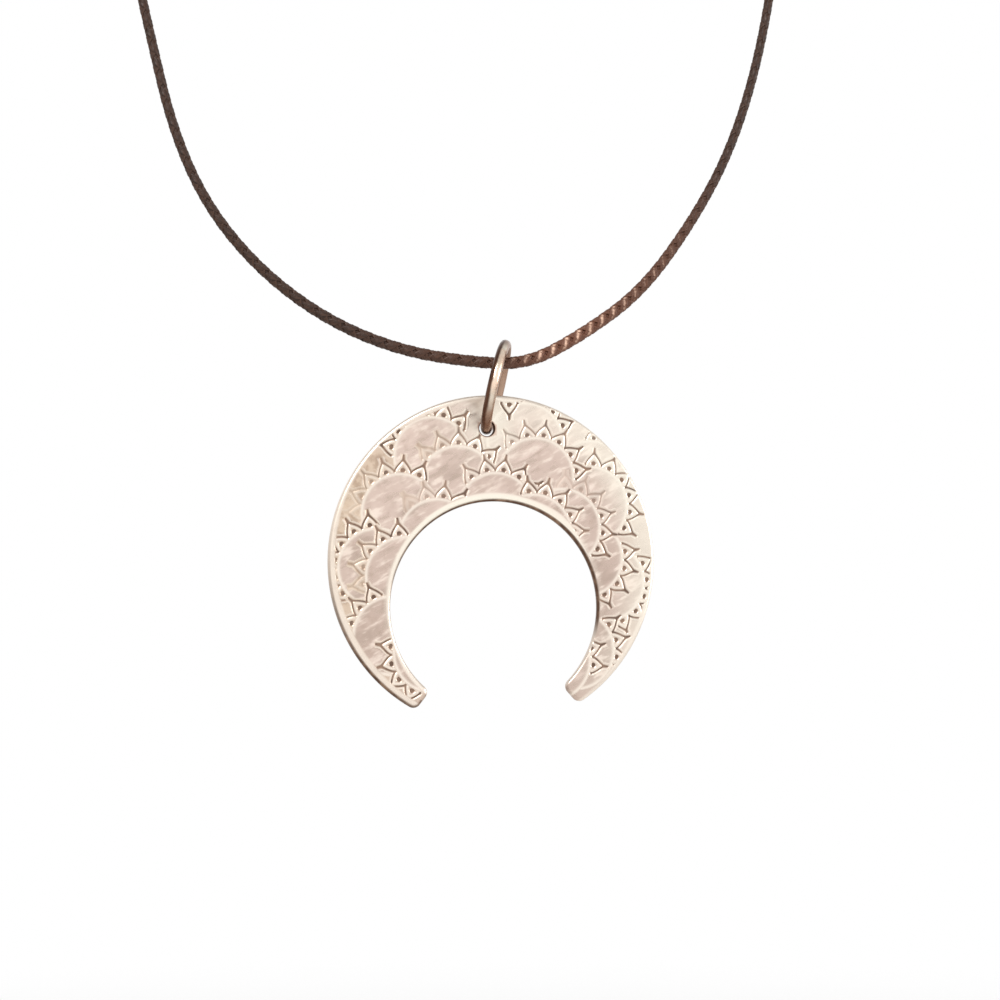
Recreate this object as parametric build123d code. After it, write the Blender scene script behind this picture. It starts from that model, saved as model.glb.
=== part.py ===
from build123d import *
import math
import os

# Cord: diameter, and how far its lowest run stands in front of the nape
CORD_DIAMETER = 1.15
LOOP_LEAN = 12.0

# Barrel clasp at the nape
CLASP_LENGTH = 24.0
BARREL_LENGTH = 13.0
BARREL_DIAMETER = 4.6
CAP_DIAMETER = 3.2
CLASP_EDGE = 0.5
THREAD_GROOVE_WIDTH = 0.3
THREAD_GROOVE_DEPTH = 0.25
SOCKET_DEPTH = 3.5
SOCKET_CLEARANCE = 0.08

# Jump ring, which leans to the right and is turned to the left
RING_WIRE = 1.25
RING_OUTER_DIAMETER = 11.2
RING_LEAN = 13.5
RING_TURN = -16.0
RING_CORD_CLEARANCE = 0.9

# Moon: a round sheet blank, with a bore placed by the metal left above and below it,
# and the blank cut open below the bore between two horns
MOON_DIAMETER = 38.4
MOON_THICKNESS = 1.0
METAL_ABOVE_BORE = 12.25
METAL_BELOW_BORE = 1.8
MOUTH_HALF_ANGLE = 40.0
HORN_CORNER = 0.9
EDGE_ROUND = 0.4
HOLE_DIAMETER = 1.8
HOLE_TO_EDGE = 3.84
HOLE_OFFSET = -0.33
HOLE_RING_CLEARANCE = 0.32
MOON_TILT = -1.7

# Stamp: a fan of petals round a smooth disc, each petal a dot under a pointed outline
STAMP_DEPTH = 0.12
STAMP_MARGIN = 0.15
DISC_RADIUS = 4.65
PETAL_PITCH = 23.4
PETAL_FOOT = 4.72
PETAL_SHOULDER = 6.08
PETAL_TIP = 6.7
PETAL_WIDTH = 1.8
PETAL_LINE = 0.25
DOT_RADIUS = 0.3
DOT_PLACE = 4.85
MARK_GAP = 0.05
MARK_AREA = 0.05

# Places of the stamps on the moon as shares of its radius from its centre, the way that each
# fan faces, in degrees clockwise from up, and its petals, in the order in which they were struck
STAMPS = [
    # across, up, facing, petals
    (0.515, 0.635, 42.0, 0),
    (-0.255, 0.770, 0.0, 0),
    (0.215, 0.715, 33.0, 4),
    (0.130, 1.195, 181.5, 1),
    (-0.355, 0.640, -18.0, 6),
    (0.615, 0.480, 6.5, 1),
    (0.695, -0.140, 112.0, 5),
    (0.565, 0.010, 118.0, 4),
    (0.605, 0.325, 65.5, 6),
    (0.275, 0.505, 24.5, 6),
    (-0.205, 0.465, 2.5, 5),
    (-0.560, 0.305, -30.0, 6),
    (-0.710, -0.015, -66.5, 6),
    (0.020, 0.300, 13.0, 5),
    (0.430, 0.195, 63.5, 6),
    (0.250, 0.165, 42.0, 5),
    (-0.340, 0.150, -1.5, 4),
    (-0.545, -0.070, -52.5, 5),
    (-0.630, -0.420, -59.5, 4),
    (-0.390, -0.530, -114.5, 4),
    (0.495, -0.545, 78.0, 3),
    (0.345, -0.605, 86.0, 2),
]

# Route of the cord seen from the front: x, and z below the nape, from the left of the clasp
# down round the lowest run, which carries the ring, and up to the right of the clasp
ROUTE = [
    (-20.3, 0.0),
    (-32.4, -4.9),
    (-41.2, -15.0),
    (-45.3, -29.5),
    (-45.6, -45.5),
    (-43.9, -63.5),
    (-41.2, -81.5),
    (-38.1, -98.5),
    (-35.1, -112.5),
    (-32.6, -123.2),
    (-28.8, -131.8),
    (-22.8, -139.0),
    (-15.2, -144.5),
    (-6.8, -147.8),
    (2.0, -149.0),
    (8.2, -149.0),
    (14.6, -145.6),
    (22.1, -140.2),
    (28.6, -131.6),
    (33.6, -122.8),
    (37.4, -111.8),
    (40.2, -98.2),
    (42.2, -81.2),
    (43.9, -63.5),
    (45.6, -45.5),
    (45.3, -29.5),
    (41.2, -15.0),
    (32.4, -4.9),
    (20.3, 0.0),
]


def cord_route():
    """The route's points in space, with the loop leaning forward towards its lowest run."""
    end = CLASP_LENGTH / 2 - SOCKET_DEPTH
    drop = -min(z for _, z in ROUTE)
    flat = [(-end, 0.0), *ROUTE, (end, 0.0)]
    return [Vector(x, z * LOOP_LEAN / drop, z) for x, z in flat]


def corner_radii(points):
    """The largest arc that the two runs at each corner leave room for."""
    radii = []
    for before, corner, after in zip(points, points[1:], points[2:]):
        turn = math.radians((corner - before).get_angle(after - corner))
        shorter = min((corner - before).length, (after - corner).length)
        radii.append(0.45 * shorter / math.tan(turn / 2))
    return radii


def cord():
    """A round tube along straight runs joined by tangent arcs."""
    points = cord_route()
    radii = corner_radii(points)
    path = FilletPolyline(*points, radius=radii)
    section = Plane(points[0], z_dir=points[1] - points[0]) * Circle(CORD_DIAMETER / 2)
    tube = sweep(section, path=path)
    expected = path.length * math.pi * CORD_DIAMETER**2 / 4
    print("cord radii in diameters", [round(r / CORD_DIAMETER, 1) for r in radii])
    print("cord length", round(path.length, 2), "volume over section times length", tube.volume / expected)
    return tube


def hang_point():
    """The middle of the cord's lowest run, where the ring hangs."""
    left, right = sorted(cord_route(), key=lambda p: p.Z)[:2]
    return (left + right) / 2


def barrel_clasp():
    """A screw barrel with an end cap for each end of the cord, closed, as one solid along X."""
    axis = Plane.YZ
    barrel = extrude(axis * Circle(BARREL_DIAMETER / 2), BARREL_LENGTH / 2, both=True)
    barrel = fillet(barrel.edges().filter_by(GeomType.CIRCLE), CLASP_EDGE)
    body = extrude(axis * Circle(CAP_DIAMETER / 2), CLASP_LENGTH / 2, both=True)
    body = fillet(body.edges().filter_by(GeomType.CIRCLE), CLASP_EDGE)
    body += barrel
    groove_floor = Circle(BARREL_DIAMETER / 2 - THREAD_GROOVE_DEPTH)
    groove = axis * (Circle(BARREL_DIAMETER / 2 + CLASP_EDGE) - groove_floor)
    body -= extrude(groove, THREAD_GROOVE_WIDTH / 2, both=True)
    socket = Circle(CORD_DIAMETER / 2 + SOCKET_CLEARANCE)
    for side in (-1, 1):
        mouth = Plane((side * CLASP_LENGTH / 2, 0, 0), z_dir=(-side, 0, 0))
        body -= extrude(mouth * socket, SOCKET_DEPTH)
    return body


def ring_frame():
    """The ring's centre, its upward direction in its own plane, and its normal."""
    lean = math.radians(RING_LEAN)
    turn = math.radians(RING_TURN)
    up = Vector(math.sin(lean), 0, math.cos(lean))
    across = Vector(math.cos(lean), 0, -math.sin(lean))
    normal = across * math.cos(turn) + Vector(0, 1, 0) * math.sin(turn)
    rise = RING_WIRE / 2 + CORD_DIAMETER / 2 + RING_CORD_CLEARANCE
    middle_radius = (RING_OUTER_DIAMETER - RING_WIRE) / 2
    centre = hang_point() - up * (middle_radius - rise)
    return centre, up, normal


def jump_ring():
    """A closed ring of round wire that goes over the cord and through the moon's hole."""
    centre, _, normal = ring_frame()
    place = Plane(centre, z_dir=normal)
    return place * Torus((RING_OUTER_DIAMETER - RING_WIRE) / 2, RING_WIRE / 2)


def wire_point():
    """The middle of the ring's wire at its lowest point, where the moon hangs."""
    centre, up, _ = ring_frame()
    return centre - up * (RING_OUTER_DIAMETER - RING_WIRE) / 2


def bore():
    """The bore's radius, and how far its centre lies below the disc's."""
    radius = (MOON_DIAMETER - METAL_ABOVE_BORE - METAL_BELOW_BORE) / 2
    return radius, (METAL_ABOVE_BORE - METAL_BELOW_BORE) / 2


def hole_place():
    """The middle of the hanging hole, from the disc's centre."""
    return HOLE_OFFSET, MOON_DIAMETER / 2 - HOLE_TO_EDGE


def mouth_wedge(half_angle):
    """The wedge below the bore's centre that opens the moon between its horns."""
    top = -bore()[1]
    half_width = MOON_DIAMETER * math.tan(math.radians(half_angle))
    foot = top - MOON_DIAMETER
    return Polygon((0, top), (-half_width, foot), (half_width, foot), align=None)


def moon_outline():
    """The crescent seen from the front, about the disc's centre, with square horns."""
    bore_radius, bore_drop = bore()
    ring = Circle(MOON_DIAMETER / 2) - Pos(0, -bore_drop) * Circle(bore_radius)
    return ring - mouth_wedge(MOUTH_HALF_ANGLE)


def moon_blank():
    """The moon lying about its own disc centre, with its front towards -Y and rounded rims."""
    outline = moon_outline()
    corners = [v for v in outline.vertices() if v.Y < -bore()[1]]
    outline = fillet(corners, HORN_CORNER)
    blank = extrude(Plane.XZ * outline, MOON_THICKNESS / 2, both=True)
    rims = blank.faces().filter_by(Axis.Y).edges()
    return fillet(rims, EDGE_ROUND)


def petal():
    """One petal pointing up from its stamp's centre: a dot under a pointed outline."""
    half = PETAL_WIDTH / 2
    outline = Polygon(
        (-half, PETAL_FOOT),
        (-PETAL_LINE / 2, PETAL_SHOULDER),
        (0, PETAL_TIP),
        (PETAL_LINE / 2, PETAL_SHOULDER),
        (half, PETAL_FOOT),
        (half - PETAL_LINE, PETAL_FOOT),
        (0, PETAL_SHOULDER - PETAL_LINE),
        (PETAL_LINE - half, PETAL_FOOT),
        align=None,
    )
    return outline, Pos(0, DOT_PLACE) * Circle(DOT_RADIUS)


def stamp_field():
    """The flat part of the moon's front that the stamps reach, inside its rounded rims."""
    bore_radius, bore_drop = bore()
    margin = EDGE_ROUND + STAMP_MARGIN
    field = Circle(MOON_DIAMETER / 2 - margin)
    field -= Pos(0, -bore_drop) * Circle(bore_radius + margin)
    field -= Pos(*hole_place()) * Circle(HOLE_DIAMETER / 2 + margin)
    half = MOUTH_HALF_ANGLE + math.degrees(margin / bore_radius)
    return field - mouth_wedge(half)


def is_clear(mark, marks):
    """Whether a mark is large enough to print, and clear of the marks already there."""
    near = [other for other in marks if (other.center() - mark.center()).length < PETAL_WIDTH]
    return mark.area > MARK_AREA and all(mark.distance_to(other) > MARK_GAP for other in near)


def stamp_marks():
    """The petals of every stamp from the last struck to the first, without those that a later
    stamp's disc covers and the marks that later ones cross."""
    radius = MOON_DIAMETER / 2
    field = stamp_field()
    struck = []
    marks = []
    for across, up, facing, petals in reversed(STAMPS):
        centre = Vector(across * radius, up * radius)
        for number in range(petals):
            angle = facing + (number - (petals - 1) / 2) * PETAL_PITCH
            dot = centre + Vector(0, DOT_PLACE).rotate(Axis.Z, -angle)
            if any((dot - later).length < DISC_RADIUS for later in struck):
                continue
            for mark in petal():
                printed = Pos(centre.X, centre.Y) * Rot(0, 0, -angle) * mark & field
                faces = printed.faces() if printed else []
                marks += [face for face in faces if is_clear(face, marks)]
        struck.append(centre)
    return Sketch() + marks


def moon_pendant():
    """The stamped crescent with its hanging hole, hung on the ring's wire with a slight tilt."""
    moon = moon_blank()
    hole = hole_place()
    moon -= extrude(Plane.XZ * Pos(*hole) * Circle(HOLE_DIAMETER / 2), MOON_THICKNESS, both=True)
    floor = Plane.XZ.offset(MOON_THICKNESS / 2 - STAMP_DEPTH)
    moon -= extrude(floor * stamp_marks(), 2 * STAMP_DEPTH)
    drop = HOLE_DIAMETER / 2 - RING_WIRE / 2 - HOLE_RING_CLEARANCE
    place = wire_point() - Vector(0, 0, drop)
    at_hole = Pos(-hole[0], 0, -hole[1])
    return Pos(*place) * Rot(0, MOON_TILT, 0) * at_hole * moon


os.makedirs("parts", exist_ok=True)
NODES = {
    "cord": cord(),
    "barrel_clasp": barrel_clasp(),
    "jump_ring": jump_ring(),
    "moon_pendant": moon_pendant(),
}
for name, shape in NODES.items():
    shape.label = name
    export_step(shape, f"parts/{name}.step")
    print(name, "volume", round(shape.volume, 2), shape.bounding_box())
print("hang point", hang_point(), "wire point", wire_point())
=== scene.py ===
import bpy
import math
import numpy as np
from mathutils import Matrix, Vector
from mathutils.geometry import delaunay_2d_cdt


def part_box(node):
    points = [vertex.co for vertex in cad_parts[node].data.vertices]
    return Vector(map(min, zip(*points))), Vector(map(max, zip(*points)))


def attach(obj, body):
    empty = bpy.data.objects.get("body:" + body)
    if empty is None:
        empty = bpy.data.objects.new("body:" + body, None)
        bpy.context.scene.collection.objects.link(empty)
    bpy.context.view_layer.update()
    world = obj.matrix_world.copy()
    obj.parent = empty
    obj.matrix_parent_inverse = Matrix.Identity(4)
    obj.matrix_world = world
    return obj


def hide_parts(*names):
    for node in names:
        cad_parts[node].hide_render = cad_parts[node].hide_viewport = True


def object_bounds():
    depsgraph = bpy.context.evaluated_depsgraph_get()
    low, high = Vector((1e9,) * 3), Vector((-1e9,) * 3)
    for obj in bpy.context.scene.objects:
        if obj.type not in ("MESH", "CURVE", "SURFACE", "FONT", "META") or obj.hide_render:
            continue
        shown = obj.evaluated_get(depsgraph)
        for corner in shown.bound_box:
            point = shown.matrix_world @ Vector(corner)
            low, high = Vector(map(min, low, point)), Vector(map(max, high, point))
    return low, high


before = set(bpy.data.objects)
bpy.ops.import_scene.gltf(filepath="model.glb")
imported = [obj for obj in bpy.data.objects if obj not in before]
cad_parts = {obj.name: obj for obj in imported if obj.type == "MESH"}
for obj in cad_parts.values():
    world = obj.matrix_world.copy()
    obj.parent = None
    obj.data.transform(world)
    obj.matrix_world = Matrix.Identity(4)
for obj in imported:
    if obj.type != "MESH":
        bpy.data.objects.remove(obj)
cad_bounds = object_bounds()

MM = 0.001

# Camera: its direction seen from the necklace in degrees, its lens, and the picture that it takes
CAMERA_AZIMUTH = -13.0
CAMERA_ELEVATION = -2.0
CAMERA_LENS = 90.0
CAMERA_SENSOR = 36.0
PICTURE_PIXELS = 1000
PIXEL = 0.1152 * MM
PICTURE_CENTRE_X = 4.9 * MM
PICTURE_CENTRE_Z = -164.8 * MM

# Loop of the cord, in millimetres: where it leaves the clasp, and its forward lean over its drop
CORD_EXIT = 8.5
LOOP_LEAN = 12.0
LOOP_DROP = 149.0
ROUTE_ORDER = 3
ROUTE_FINENESS = 48

# Route from the left of the clasp down round the ring and up again, as x and z in millimetres
ROUTE = [
    (-20.3, 0.0),
    (-32.4, -4.9),
    (-41.2, -15.0),
    (-45.3, -29.5),
    (-45.6, -45.5),
    (-43.9, -63.5),
    (-41.2, -81.5),
    (-38.1, -98.5),
    (-35.1, -112.5),
    (-32.6, -123.2),
    (-28.8, -131.8),
    (-22.8, -139.0),
    (-15.2, -144.5),
    (-6.8, -147.8),
    (2.0, -149.0),
    (8.2, -149.0),
    (14.6, -145.6),
    (22.1, -140.2),
    (28.6, -131.6),
    (33.6, -122.8),
    (37.4, -111.8),
    (40.2, -98.2),
    (42.2, -81.2),
    (43.9, -63.5),
    (45.6, -45.5),
    (45.3, -29.5),
    (41.2, -15.0),
    (32.4, -4.9),
    (20.3, 0.0),
]

# Plait: four flat strands round a core, two turning each way
PLAIT_TURN = 3.5 * MM
PLAIT_STEP = 0.2 * MM
STRAND_PATH_RADIUS = 0.315 * MM
STRAND_WEAVE = 0.055 * MM
STRAND_HALF_WIDTH = 0.5 * MM
STRAND_HALF_THICKNESS = 0.205 * MM
STRAND_SIDES = 8
STRAND_FIBRES = 5
CORE_RADIUS = 0.43 * MM
# Strands that turn one way are painted lighter than those that turn the other: painted light and
# shade
STRANDS = [
    # way that it turns, start in turns, painted shade from dark to light, painted glint where it
    # shows copper
    (1, 0.0, 0.8, 0.3),
    (1, 0.5, 1.0, 0.3),
    (-1, 0.0, 0.2, 1.0),
    (-1, 0.5, 0.0, 1.0),
]
# The core takes a middle painted shade
CORE_SHADE = 0.5

# How full the plait lies, as a share, and the levels in millimetres between which it fills out
LEAST_FULLNESS = 0.92
FULL_LEVELS = (-105.0, -140.0)
FULL_STRETCHES = [
    # middle, half width, share
    (0.0, 30.0, 0.2),
    (16.0, 11.0, 0.16),
]

# How far the strands show a painted copper sheen, and the levels in millimetres between which that
# sets in
COPPER_SHEEN_LEVELS = (-118.0, -140.0)
COPPER_SHEEN_STRETCHES = [
    # middle, half width, share
    (13.0, 8.0, 0.9),
    (26.0, 7.0, 0.4),
    (-2.0, 6.0, 0.2),
]

# Painted glint of the copper sheen on a strand: its breadth, its strength, and how much more it
# has on top
GLINT_HALF_WIDTH = 0.36
GLINT_SHARE = 0.75
GLINT_MORE_ABOVE = 0.25

# Jump ring: its wire, its outer size, its lean to the right and its turn from edge-on in degrees
RING_WIRE = 1.25 * MM
RING_OUTER_DIAMETER = 11.2 * MM
RING_LEAN = 13.5
RING_TURN = -16.0
RING_STEPS = 180
WIRE_STEPS = 36

# Where the ring takes a painted highlight, between heights of -1 at its foot and 1 at its tip
RING_HIGHLIGHT_FROM = (-0.85, -0.1)
RING_HIGHLIGHT_UP_TO = (0.96, 0.7)

# Moon, in millimetres and degrees in its own plane, about the centre of its disc
MOON_TILT = 1.7
METAL_ABOVE_BORE = 12.25
METAL_BELOW_BORE = 1.8
MOUTH_HALF_ANGLE = 40.0
HORN_CORNER = 0.9
EDGE_ROUND = 0.4
HOLE_DIAMETER = 1.8
HOLE_TO_EDGE = 3.84
HOLE_OFFSET = -0.33
HOLE_ROUND = 0.12

# Mesh of the moon: the spacing of its points on the rims, the stamped lines and the back
RIM_SPACING = 0.13
FINE_SPACING = 0.085
BACK_SPACING = 1.0

# Mesh of the moon: the step between points on plain metal, and the steps over a rounded edge
COARSE_STEP = 4
ROUND_STEPS = 6

# What counts as stamped: the change from one point to the next, and the weight of relief in it
FINE_CHANGE = 0.06
RELIEF_WEIGHT = 8

# Filling of a side: only inside its loops, with points as near as this taken as one
INSIDE_ONLY = 1
SAME_POINT = 1e-6

# Stamp, in millimetres: a smooth disc with a fan of petals round it, a pitch in degrees apart
DISC_RADIUS = 4.65
PETAL_PITCH = 23.4
PETAL_FOOT = 4.72
PETAL_SHOULDER = 6.08
PETAL_TIP = 6.75
PETAL_WIDTH = 1.88
PETAL_POWER = 1.4

# Marks of a petal: its sunken lines, the spike at its tip, its dot and the nodes between petals
LINE_HALF_WIDTH = 0.125
SPIKE_HALF_WIDTH = 0.19
SPIKE_SWELL = 0.3
SPIKE_TAPER = 0.55
DOT_RADIUS = 0.31
DOT_PLACE = 4.85
DOT_SQUASH = 1.3
DOT_EDGE = (1.2, 0.75)
NODE_RADIUS = 0.16
MARK_EDGE = 0.05
LINE_DEPTH = 0.12

# Raised arches inside the lines, burrs outside them, and the burrs' brightness: polish and painted
# highlight
ARCH_PLACE = 0.28
ARCH_WIDTH = 0.17
ARCH_HEIGHT = 0.035
BURR_PLACE = 0.26
BURR_WIDTH = 0.12
BURR_HEIGHT = 0.02
BURR_SHINE = 0.8

# How a petal wipes out older marks: its reach past its lines, its turn in radians, its least force
PETAL_REACH = 0.3
PETAL_TURN = 1.0
LEAST_FORCE = 0.2

# Smooth disc: the raised lip along its edge, how deep it is dished, and how its finish fades
LIP_PLACE = 0.2
LIP_WIDTH = 0.2
LIP_HEIGHT = 0.015
# The lip's brightness is a painted highlight, as on a bevel catching the light
LIP_SHINE = 0.9
DISH_DEPTH = 0.02
DISH_EDGE = 1.2
DISC_FADE = 0.5

# Tone of the smooth discs: at the moon's centre, its change to the right and up, and its spread
TONE_MIDDLE = 0.35
TONE_ACROSS = -0.2
TONE_UP = 0.6
TONE_SPREAD = 0.2
TONE_STEP = 0.618

# Stamps in the order in which they were struck, with places as shares of the disc's radius
STAMPS = [
    # across, up, facing in degrees clockwise from up, petals, depth of the first, of the last
    (0.515, 0.635, 42.0, 0, 0.0, 0.0),
    (-0.255, 0.770, 0.0, 0, 0.0, 0.0),
    (0.215, 0.715, 33.0, 4, 0.7, 1.0),
    (0.130, 1.195, 181.5, 1, 1.0, 1.0),
    (-0.355, 0.640, -18.0, 6, 1.0, 1.0),
    (0.615, 0.480, 6.5, 1, 0.7, 0.7),
    (0.695, -0.140, 112.0, 5, 0.9, 0.9),
    (0.565, 0.010, 118.0, 4, 0.9, 0.9),
    (0.605, 0.325, 65.5, 6, 0.8, 0.9),
    (0.275, 0.505, 24.5, 6, 0.6, 1.0),
    (-0.205, 0.465, 2.5, 5, 0.4, 1.0),
    (-0.560, 0.305, -30.0, 6, 0.3, 1.0),
    (-0.710, -0.015, -66.5, 6, 0.8, 1.0),
    (0.020, 0.300, 13.0, 5, 0.7, 1.0),
    (0.430, 0.195, 63.5, 6, 0.3, 1.0),
    (0.250, 0.165, 42.0, 5, 0.9, 0.8),
    (-0.340, 0.150, -1.5, 4, 0.25, 1.0),
    (-0.545, -0.070, -52.5, 5, 0.4, 1.0),
    (-0.630, -0.420, -59.5, 4, 0.7, 0.9),
    (-0.390, -0.530, -114.5, 4, 1.0, 1.0),
    (0.495, -0.545, 78.0, 3, 0.9, 0.9),
    (0.345, -0.605, 86.0, 2, 0.9, 0.9),
]

# The plain bands are painted bright: partly polish, partly painted highlight
# Plain bands along the rims, in millimetres, and where they widen, in degrees clockwise from up
OUTER_BAND = 0.25
OUTER_SWELLS = [
    # bearing from the disc's centre, sharpness, width
    (238.0, 1.5, 0.7),
    (118.0, 8, 0.4),
    (-22.0, 30, 0.45),
]
BORE_BAND = 0.2
BORE_SWELLS = [
    # bearing from the bore's centre, half width in degrees, width
    (0.0, 45.0, 0.8),
    (40.0, 16.0, 0.5),
    (-65.0, 35.0, 0.35),
    (-130.0, 22.0, 0.4),
]
BAND_FADE = 0.15
OUTER_BAND_SHINE = 0.75

# Painted shade in brown round the bore: the bearing where it is broadest, and its spread, in
# degrees
BORE_SHADE_BEARING = 45.0
BORE_SHADE_SPREAD = 60.0

# How far over the bore's edge its painted shade starts and is full, and how much sooner at its
# broadest
BORE_SHADE_START = 0.2
BORE_SHADE_FULL = 0.6
BORE_SHADE_SOONER = 0.25

# Least strength of the bore's painted shade, and the bearings at each side between which it fades
# to it
BORE_SHADE_LEAST = 0.3
BORE_SHADE_RIGHT = (112.0, 96.0)
BORE_SHADE_LEFT = (-110.0, -40.0)

# Painted shade in brown on the outer rim and in the hanging hole, in the same terms
RIM_SHADE_BEARING = 228.0
RIM_SHADE_SHARPNESS = 3
RIM_SHADE_START = 0.35
RIM_SHADE_FULL = 0.7
RIM_SHADE_SOONER = 0.3
HOLE_SHADE = (0.05, 0.5)

# Painted shade in tan at the left: its bearing in degrees, and its reach as shares of the disc's
# radius
TAN_BEARING = 280.0
TAN_REACH = (0.45, 0.95)

# Painted light along the right side: its bearing in degrees, its reach as shares of the radius,
# its strength
LIT_RIGHT_BEARING = 65.0
LIT_RIGHT_REACH = (0.72, 0.95)
LIT_RIGHT = 0.8

# Burnish and painted highlight round the hanging hole: its strength, and its spread in millimetres
HOLE_BURNISH_AND_LIGHT = 0.9
HOLE_BURNISH_AND_LIGHT_SPREAD = 2.8

# Burnish and painted highlight on the bore's lip: its bearing and spread in degrees, and its reach
# in millimetres
BORE_BURNISH_AND_LIGHT_BEARING = -10.0
BORE_BURNISH_AND_LIGHT_SPREAD = 65.0
BORE_BURNISH_AND_LIGHT_REACH = (0.95, 0.65)

# Noise in the finishes: its cycles a metre in each direction, its detail and its turn in degrees
CLOUD = ((260, 260, 260), 3.0)
MOTTLE = ((900, 900, 900), 4.0)
PATCHES = ((190, 190, 420), 3.0, (0, 35, 0))
BRUSHING = ((420, 420, 1500), 3.0, (0, 28, 0))
HAIRLINES = ((900, 900, 9000), 2.0, (0, 24, 0))
CLASP_CLOUD = ((600, 600, 600), 4.0)
CLASP_SCRATCHES = ((9000, 900, 900), 2.0, (0, 30, 15))
RING_CLOUD = ((700, 700, 700), 4.0)
RING_SCRATCHES = ((5000, 900, 900), 2.0, (0, 60, 20))
THREAD_FUZZ = ((2500, 2500, 2500), 3.0)

# Colours of the finishes, as screen values of 0 to 255
DISC_COLOURS = ((196, 174, 161), (225, 203, 191))
# Bright edges as polish and painted highlight, then burnish and painted light on the face
WORN_AND_LIT_COLOUR = (250, 237, 223)
BURNISHED_AND_LIT_COLOUR = (255, 248, 232)
# Ring: dull where its painted highlight fades, and painted shade inside
RING_DULL_COLOUR = (134, 102, 84)
RING_INSIDE_COLOUR = (172, 140, 118)
# Cord: threads in painted shade and painted light, fibres, then painted copper sheen and painted
# glint
THREAD_COLOURS = ((48, 32, 24), (66, 45, 34))
FIBRE_COLOUR = (92, 62, 46)
THREAD_COPPER_SHEEN_COLOUR = (128, 82, 62)
THREAD_GLINT_COLOUR = (240, 200, 174)
FLOOR_COLOUR = (236, 235, 233)

# Runs from one colour to another: the levels of a noise between which they run, and the colours
GROUND_RUN = (0.35, 0.65, (200, 178, 165), (223, 201, 187))
# Painted shade in tan at the left
TAN_RUN = (0.45, 0.65, (222, 200, 176), (188, 162, 136))
LINE_RUN = (0.35, 0.65, (98, 75, 61), (142, 115, 97))
BACK_RUN = (0.2, 0.8, (216, 188, 169), (228, 202, 184))
# Painted shade in brown on the rims' edges and in the hanging hole
EDGE_SHADE_RUN = (0.4, 0.7, (92, 68, 54), (140, 112, 92))
CLASP_RUN = (0.4, 0.7, (224, 184, 160), (206, 162, 138))
# The ring's painted highlight
RING_RUN = (0.35, 0.7, (255, 244, 226), (250, 222, 198))

# Colours laid over others: the levels at which they start and are full, their most, and the colour
DULL_PATCHES = (0.56, 0.7, 0.7, (184, 164, 151))
CLEAR_PATCHES = (0.46, 0.3, 0.8, (234, 212, 200))
BRIGHT_BRUSHING = (0.5, 0.7, 0.8, (250, 234, 221))
DARK_BRUSHING = (0.45, 0.3, 0.6, (190, 171, 157))
TARNISH = (0.5, 0.75, 0.35, (184, 162, 146))
BACK_CLOUD = (0.45, 0.75, 0.4, (202, 172, 153))
# Painted shade on the ring wire's flanks, darker on the left
RING_RIGHT_FLANK = (0.45, 0.9, 0.8, (160, 128, 108))
RING_LEFT_FLANK = (0.15, -0.35, 1.0, (92, 64, 50))
DARK_FUZZ = (0.45, 0.75, 0.5, (34, 22, 16))

# Layers that the mesh places: their shares, the levels where they set in, and their unevenness
DISC_SHARE = 0.9
# Shares of the painted shade in tan, and of burnish and painted light
TAN_SHARE = 0.85
BURNISHED_AND_LIT_SHARE = 0.8
LINE_LEVELS = (0.15, 0.85)
# The ring's painted shade inside
RING_INSIDE_SHARE = 0.9
RING_INSIDE_LEVELS = (-0.2, 0.5)
RING_UNEVENNESS = 0.5
FIBRE_SHARE = 0.35
# The cord's painted copper sheen and painted glints
THREAD_COPPER_SHEEN_SHARE = 0.7
GLINT_UNEVENNESS = 0.8
GLINT_LEVELS = (0.6, 1.3)

# Roughness of the finishes, after the levels of a noise between which it runs where it varies
DISC_ROUGHNESS = (0.35, 0.65, 0.26, 0.42)
BACK_ROUGHNESS = 0.34
WORN_ROUGHNESS = 0.3
LINE_ROUGHNESS = 0.55
CLASP_ROUGHNESS = (0.3, 0.7, 0.16, 0.3)
RING_ROUGHNESS = (0.3, 0.7, 0.16, 0.34)
RING_INSIDE_ROUGHNESS = 0.6
THREAD_ROUGHNESS = (0.3, 0.7, 0.36, 0.52)
THREAD_GLOSS = 0.3
FLOOR_ROUGHNESS = 0.85

# Share of metal: the moon's, after the levels of its dark marks, and that of the ring's inside
MOON_METAL = (0.1, 0.8, 0.92, 0.3)
RING_INSIDE_METAL = 0.35

# Bumps: their strength and their depth
BRUSHING_BUMP = (0.15, 0.03 * MM)
HAIRLINE_BUMP = (0.08, 0.01 * MM)
CLASP_BUMP = (0.12, 0.02 * MM)
RING_BUMP = (0.15, 0.02 * MM)
FIBRE_BUMP = (0.35, 0.04 * MM)
FUZZ_BUMP = (0.15, 0.03 * MM)

# Floor, in metres: its drop below the necklace, its half width, and where it thins out
FLOOR_DROP = 0.25
FLOOR_HALF_WIDTH = 4.0
FLOOR_FADE = (0.5, 1.5)

# Sky: its strength overhead and below, and the heights of a ray between which it dims
SKY_TOP = 0.65
SKY_TOP_HEIGHTS = (0.3, 0.8)
SKY_BOTTOM = 0.3
SKY_BOTTOM_HEIGHTS = (-0.6, -0.2)

# Soft lights, in metres and watts, and the place that they face
LIGHTS = [
    # name, place, size, power
    ("key", (-0.25, -0.45, 0.25), 0.25, 2.2),
    ("side", (0.5, -0.2, -0.1), 0.2, 0.8),
]
LIGHT_AIM = (0.004, -0.012, -0.17)


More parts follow.
